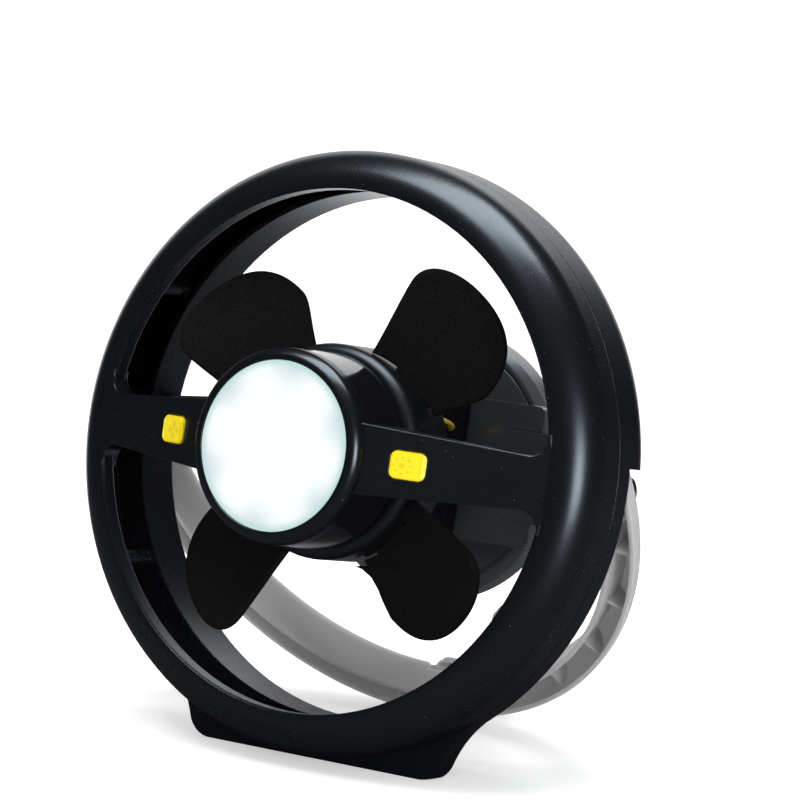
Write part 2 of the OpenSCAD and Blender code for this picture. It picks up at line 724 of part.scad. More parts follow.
module rotor_hub() color([0.03, 0.03, 0.035]) lean_back() difference() {
    union() {
        difference() {
            rotate_extrude($fn = 120) {
                square_to(hub_r - hub_round, hub_back_z, hub_front_z);
                square_to(hub_r, hub_back_z, hub_front_z - hub_round);
                translate([hub_r - hub_round, hub_front_z - hub_round]) quarter(hub_round);
            }
            translate([0, 0, hub_back_z - 1])
                cylinder(r = hub_r - hub_wall, h = hub_len + 1 - hub_face_t, $fn = 120);
        }
        translate([0, 0, -boss_back_z])
            cylinder(r = hub_boss_r, h = boss_back_z + hub_front_z - 1);
        for (a = [0 : 45 : 315]) rotate([0, 0, a])
            translate([hub_boss_r - 1, -hub_rib_t / 2, hub_front_z - hub_rib_h - 1])
            cube([hub_r - hub_wall - hub_boss_r + 2, hub_rib_t, hub_rib_h]);
    }
    translate([0, 0, -boss_back_z - 1])
        cylinder(r = shaft_r, h = boss_back_z + 1 + hub_front_z - 3.4, $fn = 48);
    for (i = [0 : blade_count - 1]) blade_frame(i) intersection() {
        blade_sheet(blade_t + 2 * tab_gap);
        translate([hub_r - hub_wall - 1, -tab_half_w - tab_gap, -hub_len])
            cube([hub_wall + 4, 2 * (tab_half_w + tab_gap), 2 * hub_len]);
    }
}

module motor_shaft() color([0.75, 0.75, 0.77]) lean_back()
    translate([0, 0, -can_back_z + 0.6]) cylinder(r = shaft_r, h = can_back_z - 0.6 + hub_front_z - 3.6, $fn = 48);

module motor_armature() color([0.6, 0.35, 0.15]) lean_back() {
    z1 = -can_front_z - 6;
    z0 = -can_back_z + 7;
    difference() {
        union() {
            translate([0, 0, z0]) cylinder(r = armature_r, h = z1 - z0);
            translate([0, 0, z0 - 3]) cylinder(r = 4, h = 3.1, $fn = 48);
        }
        translate([0, 0, z0 - 5]) cylinder(r = shaft_r, h = 40, $fn = 48);
        for (a = [0 : 120 : 240]) rotate([0, 0, a]) translate([4.5, -0.7, z0 - 1]) cube([6, 1.4, z1 - z0 + 2]);
    }
}

// ---------------------------------------------------------------- motor

module motor_can() color([0.7, 0.71, 0.73]) lean_back() difference() {
    union() {
        hoop(can_r - can_wall, can_r, can_front_z, can_back_z - cap_t);
        hoop(bush_r - 1, can_r, can_front_z, can_front_z + 1.2);
        hoop(bush_r - 1, bush_r + 1, can_front_z - 1.8, can_front_z + 0.1);
    }
    translate([0, 0, -can_front_z - 2]) cylinder(r = bush_r, h = 5, $fn = 48);
}

module motor_end_cap() color([0.1, 0.1, 0.11]) lean_back() difference() {
    hoop(bush_r, can_r, can_back_z - cap_t, can_back_z);
    for (side = [-1, 1]) translate([side * 9, 0, -can_back_z - 1]) cylinder(r = 1.2, h = 4, $fn = 32);
}

module motor_magnets() color([0.2, 0.2, 0.21]) lean_back() for (side = [0, 1]) mirror([side, 0, 0])
    intersection() {
        hoop(armature_r + 0.8, can_r - can_wall, can_front_z + 4, can_back_z - 5);
        translate([0, -0.65 * can_r, -can_back_z]) cube([can_r, 1.3 * can_r, can_len]);
    }

module motor_bushes() color([0.72, 0.55, 0.3]) lean_back() {
    hoop(shaft_r + shaft_gap, bush_r, can_front_z - 1.8, can_front_z - 1.8 + bush_len);
    hoop(shaft_r + shaft_gap, bush_r, can_back_z - cap_t - 1.4, can_back_z);
}

module motor_cradle() color([0.025, 0.025, 0.03]) lean_back() difference() {
    tube_r = can_r + 0.05 + cradle_wall;
    union() {
        slab(column_z, block_front_z) rounded_rect(column_w, column_h, 2);
        hoop(can_r - 2, tube_r, can_front_z - 0.4, column_z + 1);
        // upright webs from the tube to the column
        for (up = [0, 1]) mirror([0, up, 0]) rotate([90, 0, 90]) translate([0, 0, -1.5]) linear_extrude(3)
            polygon([[tube_r - 1, -can_front_z - 6], [column_h / 2 - 1, -column_z + 0.5], [tube_r - 1, -column_z + 0.5]]);
    }
    translate([0, 0, -can_back_z]) cylinder(r = can_r, h = can_back_z + 1, $fn = 96);
    translate([0, 0, -block_front_z - 1])
        cylinder(r = 8, h = block_front_z + 2 - can_back_z, $fn = 64);
    lead_bows(360, 0.05);
}

// Bows of the two leads at the sides of the column
module lead_bows(sweep, gap) for (turn = [0, 180]) rotate([0, 0, turn])
    translate([lead_at[0], lead_at[1], -lead_at[2]]) rotate([lead_tilt, 0, 0])
    rotate([0, 0, -sweep / 2]) rotate_extrude(angle = sweep, $fn = 72)
    translate([lead_bend, 0]) circle(lead_r + gap, $fn = 24);

// The two yellow leads bow out of the column's sides and back in
module motor_leads() color([0.95, 0.85, 0.2]) lean_back() lead_bows(240, 0);

// ---------------------------------------------------------------- battery pod

module block_outline(inset) rounded_rect(2 * (block_half_w - inset), block_h - 2 * inset, 3 - inset / 2);

module pod_front() color([0.06, 0.065, 0.075]) lean_back() difference() {
    union() {
        translate([0, 0, -pod_seam_z]) cylinder(r = pod_r, h = pod_seam_z - pod_face_z - pod_bevel + 0.8, $fn = 150);
        translate([0, 0, -pod_face_z - pod_bevel + 0.8]) cylinder(r1 = pod_r, r2 = pod_r - pod_bevel, h = pod_bevel - 0.8, $fn = 150);
        slab(block_front_z, pod_seam_z - 1) block_outline(0);
    }
    // shallow groove inside the rim
    hoop(pod_r - 5.4, pod_r - 4.4, pod_face_z - 1, pod_face_z + 0.6);
    // inside of the rim and of the block
    translate([0, 0, -pod_seam_z - 1]) cylinder(r = pod_r - pod_wall, h = pod_seam_z + 1 - pod_face_z - pod_wall - 0.6, $fn = 150);
    slab(block_front_z + pod_wall, pod_seam_z + 1) intersection() {
        block_outline(pod_wall);
        circle(pod_r - pod_wall, $fn = 150);
    }
    // seats of the two rear arms
    for (side = [0, 1]) mirror([side, 0, 0]) intersection() {
        arm_body(-fit / 2);
        translate([0, -50, -block_front_z - socket_t - fit / 2]) cube([80, 100, 20]);
    }
    translate([0, 0, -block_front_z - 3]) cylinder(r = 6, h = 6, $fn = 64);
}

module pod_back() color([0.09, 0.095, 0.105]) lean_back() difference() {
    union() {
        difference() {
            union() {
                translate([0, 0, -pod_back_z + 3]) cylinder(r = pod_r, h = pod_back_z - 3 - pod_seam_z, $fn = 150);
                rotate_extrude($fn = 150) translate([pod_r - 3, -pod_back_z + 3]) circle(3, $fn = 48);
                translate([0, 0, -pod_back_z]) cylinder(r = pod_r - 3, h = 3.1, $fn = 150);
            }
            translate([0, 0, -pod_back_z + 2.8]) cylinder(r = pod_r - pod_wall, h = 20, $fn = 150);
        }
        for (a = pod_screw_angles) rotate([0, 0, a]) translate([pod_screw_circle, 0, -pod_back_z + 1])
            cylinder(r = 3.4, h = pod_back_z - 1 - pod_seam_z, $fn = 48);
        // walls at the ends of the battery bay
        for (side = [-1, 1]) translate([side * (bay_half_l + 0.8), 0, -(pod_back_z + pod_seam_z) / 2 - 0.2])
            cube([1.6, 3 * cell_pitch + 1, pod_back_z - pod_seam_z - 1.2], center = true);
    }
    // battery opening, and the bed that the door slides in, open at its lower end
    slab(0, pod_back_z + 1) square([door_w - 2 * door_lap - 3.4, door_h - 2 * door_lap - 2], center = true);
    slab(pod_back_z - door_t - 0.1, pod_back_z + 1) {
        rounded_rect(door_w + 2 * slide_gap, door_h + 2 * slide_gap, 3);
        translate([-door_w / 2 - slide_gap, -pod_r - 1]) square([door_w + 2 * slide_gap, pod_r + 1]);
    }
    // slots in which the door's tongues run
    slab(pod_back_z - door_t - 0.1, pod_back_z - door_t + tongue_t + 0.1)
        translate([-door_w / 2 - tongue_w - slide_gap, -pod_r - 1])
        square([door_w + 2 * tongue_w + 2 * slide_gap, pod_r + 1 + door_h / 2 - 3]);
    for (a = pod_screw_angles) rotate([0, 0, a]) translate([pod_screw_circle, 0, -pod_back_z - 1]) {
        cylinder(r = pod_screw_r, h = 20, $fn = 32);
        cylinder(r = pod_head_r + fit, h = 3.4, $fn = 48);
    }
}

module pod_screws() color([0.5, 0.5, 0.52]) lean_back() for (a = pod_screw_angles)
    rotate([0, 0, a]) translate([pod_screw_circle, 0, -pod_back_z + 2.4]) {
        cylinder(r = pod_screw_r, h = pod_back_z - 2.4 - pod_seam_z, $fn = 32);
        translate([0, 0, -1.4]) difference() {
            cylinder(r = pod_head_r - 0.2, h = 1.4, $fn = 48);
            for (q = [0, 90]) rotate([0, 0, q]) translate([-1.5, -0.3, -0.5]) cube([3, 0.6, 1.1]);
        }
    }

module battery_cells() color([0.25, 0.28, 0.3]) lean_back() for (i = [-1 : 1]) mirror([i == 0 ? 1 : 0, 0, 0])
    translate([-cell_len / 2, i * cell_pitch, -cell_z]) rotate([0, 90, 0]) {
        cylinder(r = cell_r, h = cell_len - 1.2, $fn = 64);
        cylinder(r = 2.6, h = cell_len, $fn = 48);
    }

module contact_plates() color([0.8, 0.8, 0.8]) lean_back() for (side = [-1, 1])
    translate([side * (cell_len / 2 + 0.65), 0, -pod_seam_z - 2.6])
    cube([1.2, 3 * cell_pitch - 2, 6.4], center = true);

module battery_door() color([0.08, 0.085, 0.095]) lean_back() difference() {
    union() {
        slab(pod_back_z - door_t, pod_back_z) rounded_rect(door_w, door_h, 2.8);
        slab(pod_back_z - door_t, pod_back_z - door_t + tongue_t)
            translate([-door_w / 2 - tongue_w, -door_h / 2 + 3.2]) square([door_w + 2 * tongue_w, door_h - 6.4]);
    }
    // finger grooves
    for (i = [0 : 3]) translate([0, -door_h / 2 + 6 + 3 * i, -pod_back_z - 0.4]) cube([22, 1.2, 2], center = true);
}

// ---------------------------------------------------------------- stand

// Section of the stand, solid or with its outside moved in by t
module stand_outline(t = 0) {
    translate([stand_round_r, -stand_round_z]) mirror([0, 1]) quarter(stand_round - t);
    translate([stand_round_r, -stand_round_z]) square([stand_round - t, stand_round_z - stand_front_z + 2 * t]);
}

module beyond(r) intersection() {
    children();
    translate([r, -60]) square(60);
}

module stand_section() difference() {
    union() {
        beyond(stand_inner_r) stand_outline();
        translate([stand_inner_r, -stand_round_z]) square([stand_wall, stand_round_z - stand_inner_front_z]);
    }
    beyond(stand_inner_r + stand_wall) stand_outline(stand_wall);
}

// Keeps what lies below the pivot, and a rounded end about it
module below_pivot() intersection() {
    children();
    union() {
        translate([-stand_r - 1, -stand_r - 1, -60]) cube([2 * stand_r + 2, stand_r + 1, 60]);
        on_pivot(1, -stand_r - 1) cylinder(r = tab_r, h = 2 * stand_r + 2, $fn = 96);
    }
}

module stand_ribs() intersection() {
    rotate_extrude($fn = 180) beyond(stand_inner_r + 1) stand_outline(1);
    union() {
        for (i = [0 : rib_count - 1]) rotate([0, 0, 180 + 12 + 156 / (rib_count - 1) * i])
            translate([stand_inner_r, -0.7, -60]) cube([30, 1.4, 60 - stand_front_z - 3.5]);
        for (side = [-1, 1]) translate([notch_x + side * (notch_w + cheek_t) / 2, -stand_r + 8, -60])
            translate([-cheek_t / 2, -10, 0]) cube([cheek_t, 20, 60 - stand_front_z - 3.5]);
    }
}

module stand_body() difference() {
    union() {
        difference() {
            union() {
                below_pivot() rotate_extrude($fn = 180) stand_section();
                stand_ribs();
            }
            // room for the pivot lugs between the two ends
            for (side = [0, 1]) mirror([side, 0, 0])
                translate([stand_inner_r - 2, stand_end_y, -60]) cube([tab_x0 - stand_inner_r + 2, 60, 60]);
            // notch for the hook
            translate([notch_x - notch_w / 2, hook_hinge_y - barrel_r - slide_gap, -60])
                cube([notch_w, 20, 30]);
        }
        // solid bosses round the pivots
        below_pivot() intersection() {
            rotate_extrude($fn = 180) beyond(stand_inner_r) stand_outline();
            for (side = [-1, 1]) on_pivot(side, tab_x0) cylinder(r = tab_r - 1.2, h = 10, $fn = 64);
        }
        // cheeks that carry the hook's pin
        for (side = [-1, 1]) translate([notch_x + side * (notch_w + cheek_t) / 2 - cheek_t / 2, hook_hinge_y, -hook_z])
            rotate([0, 90, 0]) {
                cylinder(r = barrel_r, h = cheek_t, $fn = 48);
                translate([-4.8, -barrel_r + 0.3, 0]) cube([4.8, 2 * barrel_r - 0.6, cheek_t]);
            }
    }
    for (side = [-1, 1]) on_pivot(side, tab_x0 - 1) cylinder(r = pivot_r + 0.05, h = pin_x1 - tab_x0 + 1.1, $fn = 48);
    // bore for the hook's pin
    translate([notch_x, hook_hinge_y, -hook_z]) rotate([0, 90, 0])
        cylinder(r = hook_pin_r, h = notch_w + 2 * cheek_t + 2, center = true, $fn = 32);
}

module stand() color([0.45, 0.45, 0.46]) lean_back() swing_out() stand_body();

module pivot_pins() color([0.6, 0.6, 0.62]) lean_back() for (side = [-1, 1])
    on_pivot(side, lug_x0 + 1.6) cylinder(r = pivot_r, h = pin_x1 - lug_x0 - 1.6, $fn = 48);

// ---------------------------------------------------------------- hook

module at_hook() translate([notch_x, hook_hinge_y, -hook_z]) children();

// Seen from the front, from the hinge's middle
module hook_outline() {
    x0 = -notch_w / 2 + slide_gap;
    x1 = hook_reach - notch_x;
    y0 = -barrel_r;
    difference() {
        union() {
            translate([x0 + hook_corner, y0]) square([x1 - 5 - x0 - hook_corner, hook_base_h - y0]);
            translate([x0, y0]) square([hook_corner, hook_base_h - y0 - hook_corner]);
            translate([x0 + hook_corner, hook_base_h - hook_corner]) circle(hook_corner, $fn = 64);
            translate([x1 - hook_w, y0 + 5]) square([hook_w, hook_h - hook_w - y0 - 5]);
            translate([x1 - 5, y0 + 5]) circle(5, $fn = 64);
            // the tip slopes up to its outer side
            translate([x1, hook_h - hook_w]) mirror([1, 0]) quarter(hook_w);
            translate([x1 - hook_w - 4, hook_base_h - 0.5]) square([4.5, 4.5]);
        }
        // inside of the crook
        translate([x1 - hook_w - 4, hook_base_h + 4]) circle(4, $fn = 64);
    }
}

// The plate lies behind the barrel, so that it passes the cheeks
module hook() color([0.42, 0.42, 0.43]) lean_back() swing_out() at_hook() difference() {
    plate_z = -barrel_r - slide_gap - hook_t;
    knuckle_w = notch_w - 2 * slide_gap;
    union() {
        rotate([0, 90, 0]) cylinder(r = barrel_r, h = knuckle_w, center = true, $fn = 48);
        translate([-knuckle_w / 2, -barrel_r + 0.2, plate_z + 0.5])
            cube([knuckle_w, 2 * barrel_r - 0.6, -plate_z - 0.5]);
        translate([0, 0, plate_z]) linear_extrude(hook_t) hook_outline();
    }
    rotate([0, 90, 0]) cylinder(r = hook_pin_r + 0.05, h = 2 * notch_w, center = true, $fn = 32);
}

module hook_pin() color([0.7, 0.7, 0.72]) lean_back() swing_out() at_hook()
    rotate([0, 90, 0]) cylinder(r = hook_pin_r, h = notch_w + 2 * cheek_t - 0.2, center = true, $fn = 32);

// ---------------------------------------------------------------- nodes

front_shell();
rear_shell();
rear_arm(-1);  // rear_arm_left
rear_arm(1);  // rear_arm_right
ring_screws();
lamp_housing();
lamp_back();
bezel();
lens();
reflector();
led_board();
leds();
arm_cover(-1);  // arm_cover_left
arm_cover(1);  // arm_cover_right
switch_boards();
switches();
button(-1);  // fan_button
button(1);  // light_button
rotor_hub();
blade(0);  // blade_1
blade(1);  // blade_2
blade(2);  // blade_3
blade(3);  // blade_4
motor_shaft();
motor_armature();
motor_can();
motor_end_cap();
motor_magnets();
motor_bushes();
motor_cradle();
motor_leads();
pod_front();
pod_back();
pod_screws();
battery_cells();
contact_plates();
battery_door();
stand();
pivot_pins();
hook();
hook_pin();
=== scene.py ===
import math

import bmesh
import bpy
from mathutils import Matrix, Vector


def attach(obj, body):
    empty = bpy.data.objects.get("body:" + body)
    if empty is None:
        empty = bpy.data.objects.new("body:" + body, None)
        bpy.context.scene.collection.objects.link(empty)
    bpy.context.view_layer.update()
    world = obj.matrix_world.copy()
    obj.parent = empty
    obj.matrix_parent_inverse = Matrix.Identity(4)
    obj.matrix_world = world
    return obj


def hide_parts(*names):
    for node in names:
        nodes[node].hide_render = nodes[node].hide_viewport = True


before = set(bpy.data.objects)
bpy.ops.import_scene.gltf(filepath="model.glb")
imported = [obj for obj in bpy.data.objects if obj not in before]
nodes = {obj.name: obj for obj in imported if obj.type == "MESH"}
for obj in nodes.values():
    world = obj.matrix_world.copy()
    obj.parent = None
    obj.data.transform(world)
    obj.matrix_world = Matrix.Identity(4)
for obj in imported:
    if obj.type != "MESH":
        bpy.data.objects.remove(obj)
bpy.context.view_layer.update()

# ------------------------------------------------------------------ studio
# The fan stands on a white floor that runs into a white background.
# The camera stands to the right of the lamp and a little above it, and two softboxes light the
# fan: a long one overhead and a small one to the right.

camera = bpy.data.objects.new("camera", bpy.data.cameras.new("camera"))
camera.data.lens, camera.data.sensor_width = 198, 36
camera.data.clip_start, camera.data.clip_end = 0.1, 20
camera.location = (0.84194, -1.26595, 0.44048)
camera.rotation_euler = [math.radians(a) for a in (78.4802, -1.1372, 32.8410)]
bpy.context.scene.collection.objects.link(camera)
bpy.context.scene.camera = camera
bpy.context.scene.view_settings.view_transform = "Standard"


class Wire:
    """One output of a material's nodes, so that maths on masks reads as plain sums."""

    def __init__(self, tree, socket):
        self.tree, self.socket = tree, socket

    def node(self, kind, settings=None, sockets=None, out=0):
        """Adds a node: its settings first, then the values or wires of its sockets."""
        made = self.tree.nodes.new(kind)
        for name, value in (settings or {}).items():
            setattr(made, name, value)
        for name, value in (sockets or {}).items():
            self.plug(made.inputs[name], value)
        return Wire(self.tree, made.outputs[out])

    def plug(self, socket, value):
        if isinstance(value, Wire):
            self.tree.links.new(value.socket, socket)
        else:
            socket.default_value = value

    def maths(self, operation, *values):
        return self.node("ShaderNodeMath", {"operation": operation}, dict(enumerate(values)))

    def __add__(self, other):
        return self.maths("ADD", self, other)

    def __radd__(self, other):
        return self.maths("ADD", other, self)

    def __sub__(self, other):
        return self.maths("SUBTRACT", self, other)

    def __rsub__(self, other):
        return self.maths("SUBTRACT", other, self)

    def __mul__(self, other):
        return self.maths("MULTIPLY", self, other)

    def __rmul__(self, other):
        return self.maths("MULTIPLY", other, self)

    def __truediv__(self, other):
        return self.maths("DIVIDE", self, other)

    def __pow__(self, other):
        return self.maths("POWER", self, other)

    def __abs__(self):
        return self.maths("ABSOLUTE", self)

    def step(self, low, high, start=0.0, end=1.0):
        """Goes smoothly from start to end as the wire goes from low to high."""
        return self.node("ShaderNodeMapRange", {"interpolation_type": "SMOOTHSTEP"},
                         {"Value": self, "From Min": low, "From Max": high,
                          "To Min": start, "To Max": end})

    def mix(self, first, second):
        """A colour between first and second, with this wire as the share of second."""
        return self.node("ShaderNodeMix", {"data_type": "RGBA"},
                         {"Factor": self, "A": first, "B": second}, out="Result")


def new_finish(name):
    """A new material, its shader, and a wire with the place in metres."""
    material = bpy.data.materials.new(name)
    material.use_nodes = True
    tree = material.node_tree
    shader = tree.nodes["Principled BSDF"]
    place = Wire(tree, tree.nodes.new("ShaderNodeTexCoord").outputs["Object"])
    return material, shader, place


def set_shader(shader, wire, **values):
    """Sets sockets of the shader by name, each to a number, a colour or a wire."""
    for name, value in values.items():
        wire.plug(shader.inputs[name.replace("_", " ").title()], value)


def parts_of(vector):
    """The three numbers of a vector, each as a wire."""
    split = vector.node("ShaderNodeSeparateXYZ", {}, {"Vector": vector})
    return [Wire(vector.tree, split.socket.node.outputs[i]) for i in range(3)]


def ray_is(wire, *kinds):
    """One for the named kinds of ray, and nothing for the others."""
    found, *others = [wire.node("ShaderNodeLightPath", out=f"Is {kind} Ray") for kind in kinds]
    for other in others:
        found = wire.maths("MAXIMUM", found, other)
    return found


def along(vector, direction):
    """How far a vector reaches along a direction."""
    return vector.node("ShaderNodeVectorMath", {"operation": "DOT_PRODUCT"},
                       {0: vector, 1: direction}, out="Value")


background_turn = math.radians(122)
background = (math.cos(background_turn), math.sin(background_turn), 0)


def sweep_white():
    """White paper: white to the camera and, behind the fan, in gloss; elsewhere in gloss its colour is
    painted near-black, a painted dark reflection; it takes the shadow.
    """
    material, shader, place = new_finish("sweep_white")
    x, y = parts_of(place)[:2]
    away = (x * x + y * y) ** 0.5
    gloss = ray_is(place, "Glossy")
    white_from, white_whole = 0.20, 0.50
    behind = (along(place, background) / away).step(0.76, 0.90) * away.step(white_from, white_whole)
    # In gloss, away from the backdrop, the paper's colour is painted near-black, so the fan reflects
    # painted shade there.
    paper_white, painted_dark_floor = (0.86, 0.86, 0.86, 1), (0.05, 0.05, 0.055, 1)
    paper = (gloss * (1 - behind)).mix(paper_white, painted_dark_floor)
    seen_white = ray_is(place, "Camera", "Transmission") + gloss * behind
    filled = away.step(0.35, 1.8, 0.46, 0.64) * seen_white
    set_shader(shader, place, base_color=paper, roughness=0.9, emission_strength=filled)
    shader.inputs["Emission Color"].default_value = (1, 1, 1, 1)
    shader.inputs["Specular IOR Level"].default_value = 0.1
    return material


reach = 6
corners = [(-reach, -reach, 0), (reach, -reach, 0), (reach, reach, 0), (-reach, reach, 0)]
mesh = bpy.data.meshes.new("sweep")
mesh.from_pydata(corners, [], [(0, 1, 2, 3)])
sweep = bpy.data.objects.new("sweep", mesh)
bpy.context.scene.collection.objects.link(sweep)
mesh.materials.append(sweep_white())

world = bpy.data.worlds.new("studio")
bpy.context.scene.world = world
world.use_nodes = True
outlook = Wire(world.node_tree, world.node_tree.nodes.new("ShaderNodeTexCoord").outputs["Generated"])
ahead, ambient, white = (0.015, 0.017, 0.022, 1), (0.58, 0.59, 0.60, 1), (1, 1, 1, 1)
seen = along(outlook, background).step(0.76, 0.87).mix(ahead, white)
lit = ray_is(outlook, "Glossy").mix(ambient, seen)
outlook.plug(world.node_tree.nodes["Background"].inputs["Color"],
             ray_is(outlook, "Camera", "Transmission").mix(lit, white))


def softbox(name, place, aim, size, power, turn=0):
    """A lamp with a white cover, turned towards a point on the fan, and about its own axis."""
    lamp = bpy.data.lights.new(name, "AREA")
    lamp.shape, lamp.size, lamp.size_y = "RECTANGLE", size[0], size[1]
    lamp.energy = power
    held = bpy.data.objects.new(name, lamp)
    held.location = place
    facing = (Vector(aim) - Vector(place)).to_track_quat("-Z", "Y").to_matrix()
    held.rotation_euler = (facing @ Matrix.Rotation(math.radians(turn), 3, "Z")).to_euler()
    bpy.context.scene.collection.objects.link(held)


softbox("overhead", (0.0, -0.05, 1.35), (0.0, -0.05, 0.1), (1.4, 0.70), 18, turn=60)
softbox("key_right", (1.20, -0.70, 0.33), (0, 0, 0.12), (0.52, 0.46), 6.5)

# ------------------------------------------------------------------ ring and front bar
# The front shell is one moulding: the front half of the ring, and the sloping bar.
# The rear shell has the foot and is screwed to it. Both are satin blue-black plastic from a
# lightly etched mould, and covers close the hollow arms of the bar from behind.


def grain(place, size, detail=2.0):
    """Noise whose spots are about size metres across."""
    return place.node("ShaderNodeTexNoise", {},
                      {"Vector": place, "Scale": 0.6 / size, "Detail": detail, "Roughness": 0.5})


def finish_nodes(material, *names):
    """Gives CAD nodes a material."""
    for name in names:
        nodes[name].data.materials.clear()
        nodes[name].data.materials.append(material)


def dust(place):
    """Sparse specks of dust: one where a spot lies, nothing elsewhere."""
    spacing, size = 0.0032, 0.00011
    spots = place.node("ShaderNodeTexVoronoi", {"feature": "F1"},
                       {"Vector": place, "Scale": 1 / spacing}, out="Distance")
    return spots.step(size / spacing * 1.6, size / spacing)


def satin_black(name, colour=(0.0030, 0.0032, 0.0042, 1), rough=0.28, etch=0.000014, coat=0):
    """Moulded plastic with slightly rounded edges; etch is the depth of the mould's texture."""
    edge_radius = 0.0007
    material, shader, place = new_finish(name)
    rounded = place.node("ShaderNodeBevel", {"samples": 6}, {"Radius": edge_radius})
    cloud = grain(place, 0.03)
    fine = grain(place, 0.00035, 3)
    bump = place.node("ShaderNodeBump", {},
                      {"Strength": 0.5, "Distance": etch, "Height": fine, "Normal": rounded})
    tint = cloud.mix(colour, [c * 1.5 for c in colour[:3]] + [1])
    dust_grey = (0.16, 0.16, 0.17, 1)
    set_shader(shader, place, base_color=dust(place).mix(tint, dust_grey), normal=bump,
               roughness=rough + 0.08 * (cloud - 0.5) + 0.05 * (fine - 0.5))
    shader.inputs["Specular IOR Level"].default_value = 0.95
    shader.inputs["Coat Weight"].default_value = coat
    shader.inputs["Coat Roughness"].default_value = 0.12
    shader.inputs["Coat IOR"].default_value = 1.75
    shader.inputs["Specular Tint"].default_value = (0.76, 0.88, 1.0, 1)
    return material


finish_nodes(satin_black("ring_black"), "front_shell", "rear_shell", "arm_cover_left", "arm_cover_right",
             "lamp_back", "motor_cradle")

# ------------------------------------------------------------------ lamp
# A glossy housing carries a rounded bezel, a milky lens and a board of LEDs in a white reflector.
# The lens's light is painted: its emission, not the LEDs, makes a glow in the middle and soft bright
# spots, which lie on a wider ring than the LEDs.

finish_nodes(satin_black("bezel_black", rough=0.24), "bezel")
finish_nodes(satin_black("housing_black", rough=0.16, etch=0.000006, coat=0.9), "lamp_housing")

leaning = math.radians(12.986312616768773)
ring_middle = Vector((0, 0.011625107847506161, 0.10914902604708494))


def on_fan(place):
    """Place seen from the front of the fan: x right, y up, z out of the lamp."""
    moved = place.node("ShaderNodeVectorMath", {"operation": "SUBTRACT"}, {0: place, 1: ring_middle})
    return moved.node("ShaderNodeVectorRotate", {"rotation_type": "X_AXIS"},
                      {"Vector": moved, "Angle": leaning - math.pi / 2})


def far_from(vector, point):
    """Distance from a point on the lens or a button, across the front only."""
    x, y = parts_of(vector)[:2]
    dx, dy = x - point[0], y - point[1]
    return (dx * dx + dy * dy) ** 0.5


def lit_lens():
    """Milky diffuser with painted light: its emission paints a glow in the middle, six soft bright spots
    in a ring round it and a green line at its rim.
    """
    spot_ring, spot_spread, spot_turn = 0.0225, 0.0163, -8
    material, shader, place = new_finish("lit_lens")
    front = on_fan(place)
    glow = far_from(front, (0, 0)).step(0.029, 0.006, 0.18, 1.2)
    for number in range(6):
        turn = math.radians(spot_turn + 60 * number)
        spot = (spot_ring * math.cos(turn), spot_ring * math.sin(turn))
        glow = glow + far_from(front, spot).step(spot_spread, 0.0, 0.0, 0.85)
    glow = glow + 0.5 * (grain(place, 0.010) - 0.5)
    rim_inside, rim_outside = 0.0268, 0.0299
    rim = far_from(front, (0, 0)).step(rim_inside, rim_outside)
    # Painted glow: the emission colour paints the lens's glow, its spots and a green line at its rim.
    cool, hot, rim_glow_green = (0.43, 0.53, 0.56, 1), (0.81, 0.83, 0.83, 1), (0.36, 0.56, 0.52, 1)
    light = (0.8 * rim).mix(glow.step(-0.1, 1.1).mix(cool, hot), rim_glow_green)
    set_shader(shader, place, base_color=(0.14, 0.16, 0.16, 1), roughness=0.25, emission_color=light)
    shader.inputs["Emission Strength"].default_value = 1.0
    return material


finish_nodes(lit_lens(), "lens")


def plain(name, colour, rough=0.4, metal=0.0, marks=None, marked=None):
    """A moulded or metal finish; marks gives the share of a second colour at a place on the fan."""
    material, shader, place = new_finish(name)
    fine = grain(place, 0.0006)
    cloud = grain(place, 0.008)
    bump = place.node("ShaderNodeBump", {}, {"Strength": 0.5, "Distance": 0.00002, "Height": fine})
    tint = cloud.mix([c * 0.85 for c in colour[:3]] + [1], colour)
    if marks:
        tint = marks(*parts_of(on_fan(place))).mix(tint, marked)
    set_shader(shader, place, base_color=tint, roughness=rough + 0.1 * (cloud - 0.5), normal=bump)
    shader.inputs["Metallic"].default_value = metal
    return material


finish_nodes(plain("white_moulding", (0.85, 0.85, 0.83, 1), 0.3), "reflector")


def copper_tracks(x, y, z):
    """Two rings of copper under the white mask of the board."""
    inner_ring, outer_ring = 0.017, 0.024
    out = (x * x + y * y) ** 0.5
    rings = abs(out - inner_ring).step(0.0012, 0.0008) + abs(out - outer_ring).step(0.0008, 0.0005)
    return rings * 0.8


def phosphor(x, y, z):
    """The yellow top of each LED, whose sides stay white."""
    return z.step(0.0336, 0.0339)


finish_nodes(plain("board_white", (0.8, 0.8, 0.76, 1), 0.4,
                   marks=copper_tracks, marked=(0.72, 0.62, 0.42, 1)), "led_board")
finish_nodes(plain("led_cup", (0.85, 0.84, 0.80, 1), 0.3,
                   marks=phosphor, marked=(0.9, 0.72, 0.12, 1)), "leds")

# ------------------------------------------------------------------ buttons
# Two yellow keys stand a little proud of the bar, one on each arm.
# Each bears on a small push switch on its own board inside the arm.

button_x, button_reach, button_rise = 0.0482, 0.0070, 0.0060


